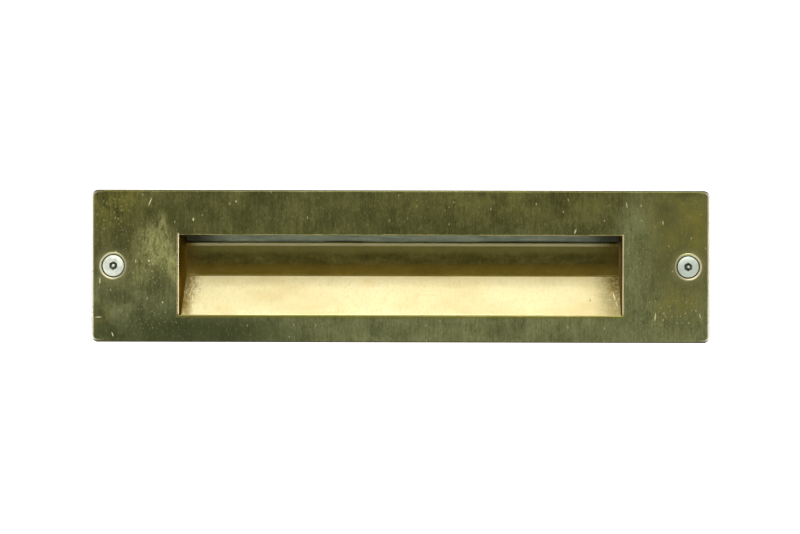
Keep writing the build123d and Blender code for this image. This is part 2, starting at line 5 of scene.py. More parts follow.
import bpy
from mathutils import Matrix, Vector


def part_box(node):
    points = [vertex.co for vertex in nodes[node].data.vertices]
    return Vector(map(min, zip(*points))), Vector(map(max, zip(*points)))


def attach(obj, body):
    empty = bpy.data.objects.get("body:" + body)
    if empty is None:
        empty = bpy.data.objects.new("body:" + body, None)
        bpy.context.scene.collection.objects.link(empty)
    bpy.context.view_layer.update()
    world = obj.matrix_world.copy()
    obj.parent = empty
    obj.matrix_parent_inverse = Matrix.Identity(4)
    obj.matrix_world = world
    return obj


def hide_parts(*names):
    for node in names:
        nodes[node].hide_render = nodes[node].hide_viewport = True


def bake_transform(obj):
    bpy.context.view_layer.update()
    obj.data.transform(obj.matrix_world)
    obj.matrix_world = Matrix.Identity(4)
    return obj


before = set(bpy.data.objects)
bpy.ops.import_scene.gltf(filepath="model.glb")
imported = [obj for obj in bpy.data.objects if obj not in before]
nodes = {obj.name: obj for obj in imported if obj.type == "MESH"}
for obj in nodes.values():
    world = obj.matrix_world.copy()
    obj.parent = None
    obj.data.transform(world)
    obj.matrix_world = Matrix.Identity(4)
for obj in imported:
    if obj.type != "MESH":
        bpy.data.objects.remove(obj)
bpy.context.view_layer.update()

MM = 0.001

# How deep masks in the plate's plane reach, how deep one cell of specks is, and the half length over
# which the object's left-hand end blends into its right-hand end.
FAR = 100.0
SPECK_DEPTH = 4 * MM
END_BLEND = 100 * MM

# ---------------------------------------------------------------- places on the object

plate_low, plate_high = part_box("front_plate")
flap_low, flap_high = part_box("flap")
shaft_low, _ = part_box("hinge_shaft")
screws_low, screws_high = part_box("wall_screws")

PLATE_FRONT = plate_low[1]
PLATE_HALF_WIDTH = plate_high[0]
PLATE_HALF_HEIGHT = plate_high[2]
PLATE_CORNER = 3.5 * MM
FLAP_END = flap_high[0]
FLAP_TOP = flap_high[2]
CREASE_ABOVE_LIP = 23.0 * MM
CREASE_Z = flap_low[2] + CREASE_ABOVE_LIP
CHEEK_INNER = 117.0 * MM
SCREW_HEAD_RADIUS = (screws_high[2] - screws_low[2]) / 2
SCREW_X = screws_high[0] - SCREW_HEAD_RADIUS


def aperture_box():
    """Half width, bottom and top of the slot, from the corner points at the plate's back."""
    depth_slack = 0.1 * MM
    side_margin = 10 * MM
    outline_margin = 5 * MM
    inner = [
        v.co
        for v in nodes["front_plate"].data.vertices
        if v.co.y > plate_high[1] - depth_slack
        and abs(v.co.x) < flap_high[0] + side_margin
        and abs(v.co.z) < PLATE_HALF_HEIGHT - outline_margin
    ]
    half_width = max(co.x for co in inner)
    return half_width, min(co.z for co in inner), max(co.z for co in inner)


APERTURE_HALF_WIDTH, APERTURE_BOTTOM, APERTURE_TOP = aperture_box()


# ---------------------------------------------------------------- node helpers

class Graph:
    """A material's node tree, with short calls for the nodes used here."""

    def __init__(self, name):
        self.material = bpy.data.materials.new(name)
        self.material.use_nodes = True
        self.tree = self.material.node_tree
        self.tree.nodes.clear()
        self.bsdf = self.tree.nodes.new("ShaderNodeBsdfPrincipled")
        output = self.tree.nodes.new("ShaderNodeOutputMaterial")
        self.tree.links.new(self.bsdf.outputs["BSDF"], output.inputs["Surface"])
        self.place = self.tree.nodes.new("ShaderNodeTexCoord").outputs["Object"]
        split = self.tree.nodes.new("ShaderNodeSeparateXYZ")
        self.tree.links.new(self.place, split.inputs[0])
        self.x, self.y, self.z = split.outputs

    def _set(self, socket, value):
        if isinstance(value, bpy.types.NodeSocket):
            self.tree.links.new(value, socket)
        elif value is not None:
            socket.default_value = value

    # Arithmetic.

    def math(self, operation, a, b=None, clamp=False):
        node = self.tree.nodes.new("ShaderNodeMath")
        node.operation = operation
        node.use_clamp = clamp
        for socket, value in zip(node.inputs, (a, b)):
            self._set(socket, value)
        return node.outputs[0]

    def add(self, a, b, clamp=False):
        return self.math("ADD", a, b, clamp)

    def minus(self, a, b, clamp=False):
        return self.math("SUBTRACT", a, b, clamp)

    def times(self, a, b):
        return self.math("MULTIPLY", a, b)

    def size(self, value):
        return self.math("ABSOLUTE", value)

    def least(self, a, b):
        return self.math("MINIMUM", a, b)

    def largest(self, *values):
        result = values[0]
        for value in values[1:]:
            result = self.math("MAXIMUM", result, value)
        return result

    def weighted(self, *terms, start=None):
        """Values, each times its weight, added to start."""
        total = start
        for value, weight in terms:
            part = self.times(value, weight)
            total = part if total is None else self.add(total, part)
        return total

    def diagonal(self, a, b):
        """Length of a step of a one way and b square to it."""
        return self.math("SQRT", self.add(self.times(a, a), self.times(b, b)))

    def step(self, value, low, high):
        """0 below low, 1 above high, smooth between; low may be above high."""
        node = self.tree.nodes.new("ShaderNodeMapRange")
        node.interpolation_type = "SMOOTHSTEP"
        self._set(node.inputs["Value"], value)
        rising = high > low
        node.inputs["From Min"].default_value = low if rising else high
        node.inputs["From Max"].default_value = high if rising else low
        node.inputs["To Min"].default_value = 0.0 if rising else 1.0
        node.inputs["To Max"].default_value = 1.0 if rising else 0.0
        return node.outputs[0]

    # Patterns.

    def vector(self, scale, offset=(0, 0, 0)):
        """The place on the object, scaled per axis and shifted."""
        node = self.tree.nodes.new("ShaderNodeMapping")
        self.tree.links.new(self.place, node.inputs["Vector"])
        node.inputs["Scale"].default_value = scale
        node.inputs["Location"].default_value = offset
        return node.outputs[0]

    def noise(self, vector, detail, roughness=0.55, distortion=0.0):
        node = self.tree.nodes.new("ShaderNodeTexNoise")
        self._set(node.inputs["Vector"], vector)
        node.inputs["Scale"].default_value = 1.0
        node.inputs["Detail"].default_value = detail
        node.inputs["Roughness"].default_value = roughness
        node.inputs["Distortion"].default_value = distortion
        return node.outputs["Fac"]

    def cells(self, vector):
        """Distance to the nearest random point and that point's random number."""
        node = self.tree.nodes.new("ShaderNodeTexVoronoi")
        self._set(node.inputs["Vector"], vector)
        node.inputs["Scale"].default_value = 1.0
        split = self.tree.nodes.new("ShaderNodeSeparateColor")
        self.tree.links.new(node.outputs["Color"], split.inputs[0])
        return node.outputs["Distance"], split.outputs[0]

    def specks(self, spacing, size, keep, stretch=1.6, shift=(0, 0, 0)):
        """Small upright spots, one in each kept cell of a random grid; spacing is in millimetres."""
        scale = (1 / (spacing * MM), 1 / SPECK_DEPTH, 1 / (stretch * spacing * MM))
        distance, chance = self.cells(self.vector(scale, shift))
        spot = self.step(distance, size, size * 0.45)
        return self.times(spot, self.step(chance, 1 - keep, 1 - keep * 0.7))

    # Colour, relief and the finished material.

    def mix(self, factor, a, b):
        node = self.tree.nodes.new("ShaderNodeMix")
        node.data_type = "RGBA"
        self._set(node.inputs["Factor"], factor)
        self._set(node.inputs["A"], (*a, 1) if isinstance(a, tuple) else a)
        self._set(node.inputs["B"], (*b, 1) if isinstance(b, tuple) else b)
        return node.outputs["Result"]

    def lay(self, colour, mask, strength, over):
        """A colour laid over another one where the mask is 1, at some strength."""
        return self.mix(self.times(mask, strength), colour, over)

    def ramp(self, factor, stops):
        node = self.tree.nodes.new("ShaderNodeValToRGB")
        self._set(node.inputs["Fac"], factor)
        elements = node.color_ramp.elements
        while len(elements) < len(stops):
            elements.new(0.5)
        for element, (position, colour) in zip(elements, stops):
            element.position = position
            element.color = (*colour, 1)
        return node.outputs["Color"]

    def bump(self, height, strength, distance, normal=None):
        node = self.tree.nodes.new("ShaderNodeBump")
        node.inputs["Strength"].default_value = strength
        node.inputs["Distance"].default_value = distance
        self._set(node.inputs["Height"], height)
        self._set(node.inputs["Normal"], normal)
        return node.outputs[0]

    def finish(self, colour, roughness, normal=None, metallic=1.0, edge_tint=None):
        self._set(self.bsdf.inputs["Base Color"], colour)
        if edge_tint is not None:
            self.bsdf.inputs["Specular Tint"].default_value = (*edge_tint, 1)
        self._set(self.bsdf.inputs["Roughness"], roughness)
        self._set(self.bsdf.inputs["Metallic"], metallic)
        self._set(self.bsdf.inputs["Normal"], normal)
        return self.material

    # Masks that follow the object's own shape.

    def rightwards(self):
        """0 at the object's left-hand end and 1 at its right-hand end."""
        return self.step(self.x, -END_BLEND, END_BLEND)

    def distance_xz(self, x, z):
        """Distance in the plane of the plate from a point on it."""
        return self.diagonal(self.minus(self.x, x), self.minus(self.z, z))

    def from_screws(self, shift_x=(0, 0), z=0):
        """Distance from the nearer wall screw's middle, or from a point shifted from each one."""
        left = self.distance_xz(-SCREW_X + shift_x[0], z)
        right = self.distance_xz(SCREW_X + shift_x[1], z)
        return self.least(left, right)

    def outside_rectangle(self, half_width, low, high):
        """How far a point lies outside a rectangle in XZ, negative inside."""
        dx = self.minus(self.size(self.x), half_width)
        dz = self.size(self.minus(self.z, (low + high) / 2))
        return self.largest(dx, self.minus(dz, (high - low) / 2))

    def outside_rounded(self, half_width, half_height, radius):
        """How far a point lies outside a rectangle with rounded corners in XZ, negative inside."""
        dx = self.minus(self.size(self.x), half_width - radius)
        dz = self.minus(self.size(self.z), half_height - radius)
        inner = self.least(self.largest(dx, dz), 0.0)
        corner = self.diagonal(self.largest(dx, 0.0), self.largest(dz, 0.0))
        return self.minus(self.add(corner, inner), radius)

    def ellipse(self, x, z, half_x, half_z, tilt=0.0):
        """0 at a point of the plate and 1 on an ellipse round it, in mm; tilt leans its top to -X."""
        node = self.tree.nodes.new("ShaderNodeMapping")
        node.vector_type = "TEXTURE"
        self.tree.links.new(self.place, node.inputs["Vector"])
        node.inputs["Location"].default_value = (x * MM, 0, z * MM)
        node.inputs["Rotation"].default_value = (0, math.radians(-tilt), 0)
        node.inputs["Scale"].default_value = (half_x * MM, FAR, half_z * MM)
        length = self.tree.nodes.new("ShaderNodeVectorMath")
        length.operation = "LENGTH"
        self.tree.links.new(node.outputs[0], length.inputs[0])
        return length.outputs["Value"]

    def cloud(self, x, z, half_x, half_z, tilt=0.0):
        """1 at a point of the plate, falling to 0 a little outside an ellipse round it."""
        return self.step(self.ellipse(x, z, half_x, half_z, tilt), 1.35, 0.25)

    def faint_cloud(self, strength, *where):
        """A cloud that reaches only some strength at its middle."""
        return self.times(self.cloud(*where), strength)

    def mark(self, x, z, length, width, lean, strength):
        """One short bright nick."""
        distance = self.ellipse(x, z, width / 2, length / 2, lean)
        return self.times(self.step(distance, 1.25, 0.55), strength)


# ---------------------------------------------------------------- materials

EDGE_TINT = (0.62, 0.46, 0.14)
HOPPER_TINT = (0.64, 0.50, 0.20)

# The plate.
OLIVE_DARK = (0.062, 0.062, 0.017)
OLIVE = (0.101, 0.103, 0.032)
OLIVE_LIGHT = (0.155, 0.152, 0.050)
GREY_GREEN_DARK = (0.106, 0.116, 0.042)
GREY_GREEN = (0.182, 0.194, 0.078)
GREY_GREEN_LIGHT = (0.262, 0.272, 0.118)
SHADED_GREEN = (0.052, 0.060, 0.022)
GOLD_BROWN = (0.198, 0.174, 0.037)
HAZE = (0.440, 0.430, 0.160)
WORN_GOLD = (0.470, 0.420, 0.200)
PALE_SPECK = (0.600, 0.580, 0.280)
RIM_GOLD = (0.740, 0.690, 0.420)
BRIGHT_GOLD = (0.850, 0.800, 0.420)
# Painted highlight, over real rubbing, on the outer edge at the plate's ends.
CREAM_END_HIGHLIGHT = (0.930, 0.880, 0.680)
# Painted highlight on the slot's two sides.
SLOT_SIDE_HIGHLIGHT = (0.970, 0.860, 0.480)
PIT_BROWN = (0.040, 0.032, 0.010)
EDGE_TARNISH = (0.042, 0.031, 0.011)
EDGE_SHADOW = (0.022, 0.017, 0.006)
SINK_SHADOW = (0.030, 0.026, 0.008)
# Painted shade on the cut faces inside the slot.
CUT_FACE_SHADE = (0.120, 0.086, 0.010)

# The flap.
RAMP_BRASS = [(0.32, (0.74, 0.625, 0.315)), (0.5, (0.80, 0.710, 0.395)), (0.7, (0.84, 0.765, 0.450))]
RAMP_STAIN = (0.72, 0.54, 0.24)
RAMP_STREAK = (0.66, 0.54, 0.26)
RAMP_MOTTLE = (0.66, 0.56, 0.27)
RAMP_SHADE = (0.44, 0.37, 0.15)
RAMP_SPOT = (0.74, 0.55, 0.22)
# Painted shade on the flap's upright face.
FACE_SHADE_BROWN = [(0.36, (0.120, 0.082, 0.011)), (0.62, (0.165, 0.118, 0.019))]
FACE_SHADE_MOTTLED = [(0.34, (0.056, 0.050, 0.010)), (0.50, (0.135, 0.116, 0.026)), (0.66, (0.230, 0.195, 0.055))]
FACE_UPPER = (0.300, 0.262, 0.072)
# Painted highlight along the bend at the flap's top.
TOP_BEND_HIGHLIGHT = (0.64, 0.62, 0.31)
# Painted shade at the flap's two ends.
LEFT_END_SHADE = (0.250, 0.175, 0.042)
RIGHT_END_SHADE = (0.165, 0.125, 0.025)
# Painted shade on a patch near the ramp's left-hand end.
LEFT_PATCH_SHADE = (0.260, 0.190, 0.050)
SPECK_BROWN = (0.22, 0.13, 0.04)

# The hopper and its side walls, painted dark as shade.
HOPPER_SHADED_BRASS = [(0.30, (0.200, 0.150, 0.058)), (0.5, (0.290, 0.225, 0.095)), (0.7, (0.370, 0.300, 0.140))]
HOPPER_SPOT = (0.130, 0.088, 0.032)
HOPPER_ROLLED = (0.46, 0.38, 0.19)
# Painted shade on the walls beside the flap.
WALL_SHADE_BROWN = (0.245, 0.162, 0.008)

# Smears, dirt and painted shade on the hinge bar and on the wall screws' heads.
BAR_SMEAR = (0.20, 0.235, 0.200)
# Painted shade at the bar's ends and a painted shadow line under it.
BAR_END_SHADE = (0.060, 0.058, 0.036)
BAR_GAP_SHADOW = (0.030, 0.030, 0.020)
HEAD_DULL = (0.43, 0.49, 0.41)
HEAD_SMEAR = (0.42, 0.50, 0.43)
# Dirt and painted shade in the screws' sockets and at their heads' edges.
HEAD_DIRT_AND_SHADE = (0.050, 0.046, 0.018)

# Single marks: x, z, length, width in millimetres, lean in degrees, strength.
PLATE_MARKS = [
    (-131.6, 33.6, 4.8, 0.55, -22, 1.0),
    (-108.9, 24.4, 1.8, 0.85, 0, 0.9),
    (-86.5, 33.9, 1.2, 0.8, 0, 0.8),
    (-157.9, -7.9, 3.4, 0.60, 0, 1.0),
    (-158.6, -27.0, 0.6, 3.40, 0, 0.9),
    (-151.2, -36.0, 2.6, 0.60, 20, 1.0),
    (-125.0, -19.1, 1.1, 0.80, 0, 0.9),
    (-132.2, 2.6, 1.4, 1.00, 0, 1.0),
    (-139.1, 2.4, 2.0, 0.60, 0, 0.9),
    (91.6, 18.5, 2.8, 0.90, -20, 0.7),
    (118.6, 32.4, 3.4, 0.70, 10, 0.5),
    (137.7, 23.2, 2.2, 0.60, 10, 0.8),
    (133.7, -26.3, 4.6, 0.65, -6, 0.9),
    (157.2, -25.7, 2.8, 0.55, 12, 0.7),
]
FLAP_MARKS = [
    (112.8, -15.5, 4.6, 0.5, 12, 0.9),
    (114.2, -20.0, 3.0, 0.5, 20, 0.7),
    (-111.0, -17.0, 4.0, 0.5, 8, 0.8),
    (-112.6, -14.5, 3.4, 0.5, -14, 0.7),
    (-110.4, -21.0, 2.4, 0.5, 24, 0.7),
]
FLAP_DARK_SPOT = (100.1, -17.8, 1.0, 0.9, 0, 0.8)


def plate_patina(g, blotch, mottle, tone):
    """Olive and grey-green clouds, with warm golden-brown ones at the corners."""
    olive = g.ramp(tone, [(0.38, OLIVE_DARK), (0.50, OLIVE), (0.61, OLIVE_LIGHT)])
    grey = g.ramp(tone, [(0.38, GREY_GREEN_DARK), (0.50, GREY_GREEN), (0.61, GREY_GREEN_LIGHT)])

    # Greyer below the slot and to the right of it, more olive above and out to the right-hand end.
    broad = g.noise(g.vector((24, 24, 34)), detail=4, roughness=0.55, distortion=0.6)
    below = g.step(g.z, 14 * MM, -30 * MM)
    beside = g.cloud(124, 4, 13, 38)
    greyness = g.add(g.largest(below, beside), -0.25)
    greyness = g.add(greyness, g.times(broad, 0.5), clamp=True)
    colour = g.mix(greyness, olive, grey)
    colour = g.lay(colour, g.cloud(150, 14, 26, 34), 0.80, OLIVE_LIGHT)

    warm = g.largest(
        g.cloud(-152, 33, 17, 14),
        g.cloud(150, 22, 18, 22),
        g.faint_cloud(0.9, 146, -22, 15, 13),
        g.faint_cloud(0.9, -159, -30, 7, 12),
        g.faint_cloud(0.32, 60, 33, 60, 9),
    )
    warm = g.times(warm, g.step(g.add(blotch, mottle), 0.80, 1.22))
    colour = g.lay(colour, warm, 0.84, GOLD_BROWN)
    dark_corner = g.times(g.cloud(-148, -27, 16, 13), g.step(blotch, 0.62, 0.40))
    colour = g.lay(colour, dark_corner, 0.60, SHADED_GREEN)
    return g.lay(colour, g.cloud(-110, -36, 62, 15), 0.80, SHADED_GREEN)


def plate_scuffs(g, colour):
    """A hazy patch beside the slot, where hands and letters rub, and specks, nicks and pits."""
    wisp = g.noise(g.vector((560, 560, 230), (1, 0, 4)), detail=6, roughness=0.78, distortion=0.3)
    haze = g.largest(
        g.cloud(-128, 11, 11, 13, 18),
        g.cloud(-120, 2, 4.5, 12, 14),
        g.faint_cloud(0.85, -125, 21, 3, 8, 4),
        g.faint_cloud(0.5, -136, 4, 7, 15),
    )
    haze = g.times(haze, g.step(wisp, 0.31, 0.61))
    colour = g.lay(colour, haze, 0.92, HAZE)

    # Bright specks everywhere, thickest on the scuffed patch and in the corners.
    scuffed = g.largest(
        g.cloud(-133, 4, 13, 20),
        g.faint_cloud(0.9, -152, 27, 10, 13),
        g.faint_cloud(0.45, -130, -27, 24, 9),
        g.cloud(142, -24, 18, 12),
        g.faint_cloud(0.4, 124, 2, 12, 24),
    )
    clustered = g.times(scuffed, g.step(wisp, 0.38, 0.58))
    scratched = g.weighted((haze, 0.55), start=0.14)
    fine_specks = g.largest(
        g.times(g.specks(1.15, 0.33, 0.80), clustered),
        g.times(g.specks(2.4, 0.17, 0.26, 2.2, (3.3, 0, 1.7)), 0.60),
        g.times(g.specks(0.85, 0.34, 0.50, 3.2, (9.1, 0, 4.2)), scratched),
    )
    colour = g.mix(fine_specks, colour, PALE_SPECK)
    marks = g.largest(*(g.mark(*values) for values in PLATE_MARKS))
    colour = g.lay(colour, marks, 0.95, BRIGHT_GOLD)
    pits = g.specks(3.1, 0.13, 0.22, 1.2, (6.2, 0, 7.7))
    colour = g.lay(colour, pits, 0.45, PIT_BROWN)
    return colour, g.largest(fine_specks, marks)


def plate_edges(g, colour):
    """Edges rubbed bright at the plate's ends, at the slot and round the screws, with painted highlights on
    the plate's ends, the slot's sides and the screw rims' outer sides, and cut faces painted dark as shade.
    """
    uneven = g.times(g.noise(g.vector((260, 260, 260)), detail=4), 0.9 * MM)
    rightwards = g.rightwards()
    side = g.size(g.x)
    front_part = g.step(g.y, PLATE_FRONT + 1.2 * MM, PLATE_FRONT + 0.8 * MM)

    # The outer edge is cream at the two ends, a painted highlight over real rubbing, and tarnished above
    # and below.
    outline = g.outside_rounded(PLATE_HALF_WIDTH, PLATE_HALF_HEIGHT, PLATE_CORNER)
    at_ends = g.step(side, PLATE_HALF_WIDTH - 7 * MM, PLATE_HALF_WIDTH - 2 * MM)
    off_long_edges = g.step(g.size(g.z), PLATE_HALF_HEIGHT - 0.7 * MM, PLATE_HALF_HEIGHT - 1.9 * MM)
    at_ends = g.times(at_ends, off_long_edges)
    lit_plate_ends = g.times(g.step(outline, -1.62 * MM, -1.26 * MM), at_ends)
    lit_plate_ends = g.times(lit_plate_ends, front_part)
    tarnished = g.minus(g.step(outline, -0.9 * MM, -0.3 * MM), lit_plate_ends, clamp=True)
    colour = g.lay(colour, g.times(tarnished, front_part), 0.85, EDGE_TARNISH)
    outermost = g.times(g.step(outline, -0.36 * MM, -0.20 * MM), front_part)

    # The slot's edge is worn above and at the sides and golden brown below; its sides carry a painted
    # highlight, brightest on the left.
    slot = g.outside_rectangle(APERTURE_HALF_WIDTH, APERTURE_BOTTOM, APERTURE_TOP)
    uneven_slot = g.add(slot, uneven)
    lit_slot_sides = g.step(side, APERTURE_HALF_WIDTH - 0.2 * MM, APERTURE_HALF_WIDTH)
    reach = g.weighted((rightwards, 0.35 * MM), start=slot)
    lit_slot_sides = g.times(lit_slot_sides, g.step(reach, 1.15 * MM, 0.90 * MM))
    lit_slot_sides = g.times(lit_slot_sides, g.step(g.z, APERTURE_BOTTOM - 0.1 * MM, APERTURE_BOTTOM + 0.6 * MM))
    lit_slot_sides = g.times(lit_slot_sides, g.weighted((rightwards, -0.25), start=1.0))
    under_slot = g.step(g.z, APERTURE_BOTTOM + 0.1 * MM, APERTURE_BOTTOM - 0.1 * MM)
    slot_edge = g.minus(g.step(uneven_slot, 1.0 * MM, 0.5 * MM), under_slot, clamp=True)
    under_slot = g.times(under_slot, g.step(uneven_slot, 2.4 * MM, 1.7 * MM))

    # A bright burnished rim, its outer side painted brighter as a highlight, and a faint halo round each
    # screw, and a dark line where its head sinks in.
    screw = g.from_screws()
    rim = g.step(screw, SCREW_HEAD_RADIUS + 1.75 * MM, SCREW_HEAD_RADIUS + 1.05 * MM)
    halo = g.times(g.step(screw, SCREW_HEAD_RADIUS + 5.5 * MM, SCREW_HEAD_RADIUS + 1 * MM), 0.22)
    sink = g.step(screw, SCREW_HEAD_RADIUS + 0.50 * MM, SCREW_HEAD_RADIUS + 0.36 * MM)
    worn = g.largest(g.times(slot_edge, 0.85), halo)
    colour = g.mix(worn, colour, WORN_GOLD)
    colour = g.lay(colour, under_slot, 0.75, GOLD_BROWN)
    # The rim's outer side gets a painted highlight.
    lit_rim_side = g.step(side, SCREW_X - 3 * MM, SCREW_X + 4 * MM)
    colour = g.mix(g.times(rim, g.weighted((lit_rim_side, 0.56), start=0.34)), colour, RIM_GOLD)
    # Painted highlights on the plate's ends and on the slot's sides.
    colour = g.mix(lit_plate_ends, colour, CREAM_END_HIGHLIGHT)
    colour = g.mix(lit_slot_sides, colour, SLOT_SIDE_HIGHLIGHT)
    colour = g.mix(outermost, colour, EDGE_SHADOW)
    colour = g.mix(sink, colour, SINK_SHADOW)

    # The cut faces inside the slot are painted dark brown as shade.
    deep = g.step(g.y, PLATE_FRONT + 0.5 * MM, PLATE_FRONT + 0.9 * MM)
    inside = g.times(deep, g.step(slot, 0.4 * MM, 0.1 * MM))
    colour = g.lay(colour, inside, 0.9, CUT_FACE_SHADE)

    polished = g.largest(lit_plate_ends, lit_slot_sides)
    ring = g.times(rim, g.step(screw, SCREW_HEAD_RADIUS + 0.4 * MM, SCREW_HEAD_RADIUS + 1.3 * MM))
    return colour, worn, polished, ring


def plate_brass():
    """Raw brass gone olive, with upright grain, specks, a scuffed patch, burnished edges with painted
    highlights, and cut faces painted dark as shade.
    """
    g = Graph("plate_aged_brass")
    blotch = g.noise(g.vector((85, 85, 75), (3, 0, 1)), detail=5, roughness=0.62, distortion=0.3)
    streak = g.noise(g.vector((1150, 300, 62), (5, 0, 2)), detail=3, roughness=0.6)
    grain = g.noise(g.vector((1900, 1900, 900), (7, 0, 2)), detail=2, roughness=0.5)
    mottle = g.noise(g.vector((900, 620, 330), (2, 0, 9)), detail=4, roughness=0.7)
    tone = g.weighted((blotch, 0.34), (streak, 0.22), (grain, 0.20), (mottle, 0.24))
    colour = plate_patina(g, blotch, mottle, tone)
    colour, bright = plate_scuffs(g, colour)
    colour, worn, polished, ring = plate_edges(g, colour)

    roughness = g.weighted((blotch, 0.14), (grain, 0.05), (worn, -0.06), (polished, -0.14), start=0.33)
    normal = g.bump(streak, 0.14, 0.04 * MM)
    normal = g.bump(blotch, 0.12, 0.25 * MM, normal)
    normal = g.bump(g.times(bright, -1.0), 0.5, 0.04 * MM, normal)
    normal = g.bump(ring, 1.0, 0.13 * MM, normal)
    return g.finish(colour, roughness, normal, edge_tint=EDGE_TINT)


def flap_brass():
    """Satin brass sheet: a pale rubbed ramp below, an upright face above it painted brown and mottled as
    shade, and painted shade at the ends.
    """
    g = Graph("flap_satin_brass")
    broad = g.noise(g.vector((26, 26, 60)), detail=4, roughness=0.5, distortion=0.5)
    stain = g.noise(g.vector((70, 70, 110), (4, 0, 3)), detail=6, roughness=0.7, distortion=0.6)
    streak = g.noise(g.vector((1250, 300, 70)), detail=3, roughness=0.6)
    mottle = g.noise(g.vector((800, 800, 420), (6, 0, 1)), detail=4, roughness=0.7)
    colour = g.ramp(broad, RAMP_BRASS)
    colour = g.lay(colour, g.step(stain, 0.55, 0.70), 0.45, RAMP_STAIN)
    colour = g.lay(colour, g.step(streak, 0.50, 0.72), 0.36, RAMP_STREAK)
    colour = g.lay(colour, g.step(mottle, 0.50, 0.66), 0.38, RAMP_MOTTLE)
    colour = g.lay(colour, g.step(g.x, FLAP_END - 24 * MM, FLAP_END - 1 * MM), 0.45, RAMP_SHADE)
    spot = g.times(g.cloud(-18, -9, 5, 3), g.step(stain, 0.35, 0.6))
    colour = g.lay(colour, spot, 0.40, RAMP_SPOT)

    # The upright face is painted as brass in shade: brown where the light reaches it, darker and mottled
    # above that, a little lighter towards the top.
    face_tone = g.noise(g.vector((90, 90, 170), (1, 0, 5)), detail=7, roughness=0.78, distortion=0.2)
    face_tone = g.weighted((face_tone, 0.72), (mottle, 0.28))
    upper = g.step(g.z, FLAP_TOP - 7.5 * MM, FLAP_TOP - 3.5 * MM)
    mottled = g.lay(g.ramp(face_tone, FACE_SHADE_MOTTLED), upper, 0.64, FACE_UPPER)
    high = g.step(g.z, CREASE_Z + 5.0 * MM, CREASE_Z + 7.5 * MM)
    upright = g.step(g.z, CREASE_Z - 0.5 * MM, CREASE_Z - 0.1 * MM)
    below_top = g.step(g.z, FLAP_TOP - 1.4 * MM, FLAP_TOP - 2.3 * MM)
    face_shade_mask = g.times(upright, below_top)
    colour = g.mix(face_shade_mask, colour, g.mix(high, g.ramp(face_tone, FACE_SHADE_BROWN), mottled))
    # A painted highlight along the bend at the flap's top.
    colour = g.mix(g.minus(upright, below_top, clamp=True), colour, TOP_BEND_HIGHLIGHT)

    # Painted shade towards the two ends, beside the side walls, least at the right-hand end's lip.
    left_end = g.step(g.x, -FLAP_END + 7.5 * MM, -FLAP_END + 1.5 * MM)
    right_end = g.step(g.x, FLAP_END - 16 * MM, FLAP_END - 1.5 * MM)
    near_lip = g.step(g.z, CREASE_Z - 4 * MM, CREASE_Z - 20 * MM)
    right_end = g.times(right_end, g.weighted((near_lip, -0.36), start=1.0))
    patchy = g.weighted((stain, 0.5), (mottle, 0.5))
    end_shade = g.times(g.largest(left_end, right_end), g.step(patchy, 0.26, 0.58))
    colour = g.mix(end_shade, colour, g.mix(g.rightwards(), LEFT_END_SHADE, RIGHT_END_SHADE))
    # A painted patch of shade near the ramp's left-hand end.
    rubbed = g.times(g.cloud(-113, -10, 6, 9, 14), g.step(mottle, 0.36, 0.56))
    colour = g.lay(colour, rubbed, 0.6, LEFT_PATCH_SHADE)

    dark_specks = g.times(g.specks(3.4, 0.11, 0.16, 1.0, (2.0, 0, 6.0)), 0.35)
    colour = g.mix(g.largest(dark_specks, g.mark(*FLAP_DARK_SPOT)), colour, SPECK_BROWN)
    marks = g.largest(*(g.mark(*values) for values in FLAP_MARKS))
    colour = g.mix(marks, colour, BRIGHT_GOLD)

    roughness = g.weighted((stain, 0.12), (face_shade_mask, 0.06), start=0.38)
    normal = g.bump(streak, 0.10, 0.04 * MM)
    normal = g.bump(stain, 0.10, 0.4 * MM, normal)
    return g.finish(colour, roughness, normal, edge_tint=EDGE_TINT)


def hopper_brass():
    """Folded brass sheet painted dark as brass in shade, with rolling lines along the sheet."""
    g = Graph("hopper_dark_brass")
    broad = g.noise(g.vector((30, 30, 30)), detail=5, roughness=0.6, distortion=0.6)
    rolled = g.noise(g.vector((18, 1500, 1500)), detail=3)
    spots = g.noise(g.vector((140, 140, 140), (2, 5, 1)), detail=6, roughness=0.7)
    # The sheet's colour is painted dark as shade.
    colour = g.ramp(broad, HOPPER_SHADED_BRASS)
    colour = g.lay(colour, g.step(spots, 0.58, 0.70), 0.5, HOPPER_SPOT)
    colour = g.lay(colour, g.step(rolled, 0.55, 0.8), 0.25, HOPPER_ROLLED)

    # The walls beside the flap are painted a dark orange brown as shade.
    near_front = g.step(g.y, 26 * MM, 16 * MM)
    inner_face = g.step(g.size(g.x), CHEEK_INNER + 0.4 * MM, CHEEK_INNER + 0.1 * MM)
    colour = g.mix(g.times(near_front, inner_face), colour, WALL_SHADE_BROWN)
    roughness = g.weighted((spots, 0.22), start=0.32)
    normal = g.bump(rolled, 0.08, 0.05 * MM)
    normal = g.bump(spots, 0.08, 0.2 * MM, normal)
    return g.finish(colour, roughness, normal, edge_tint=HOPPER_TINT)


def steel(name, colour_low, colour_high, roughness_base, lines_scale, shade=None):
    """Stainless steel with fine tool lines and faint clouds; shade can darken places on it."""
    g = Graph(name)
    lines = g.noise(g.vector(lines_scale), detail=2)
    cloud = g.noise(g.vector((160, 160, 160)), detail=5, roughness=0.65)
    spots = g.step(g.noise(g.vector((520, 520, 520), (3, 1, 2)), detail=3), 0.63, 0.72)
    colour = g.ramp(cloud, [(0.3, colour_low), (0.7, colour_high)])
    colour = g.lay(colour, spots, 0.4, tuple(c * 0.45 for c in colour_low))
    if shade is not None:
        colour = shade(g, colour)
    roughness = g.weighted((cloud, 0.14), (lines, 0.05), start=roughness_base)
    normal = g.bump(lines, 0.12, 0.03 * MM)
    normal = g.bump(cloud, 0.06, 0.1 * MM, normal)
    return g.finish(colour, roughness, normal)


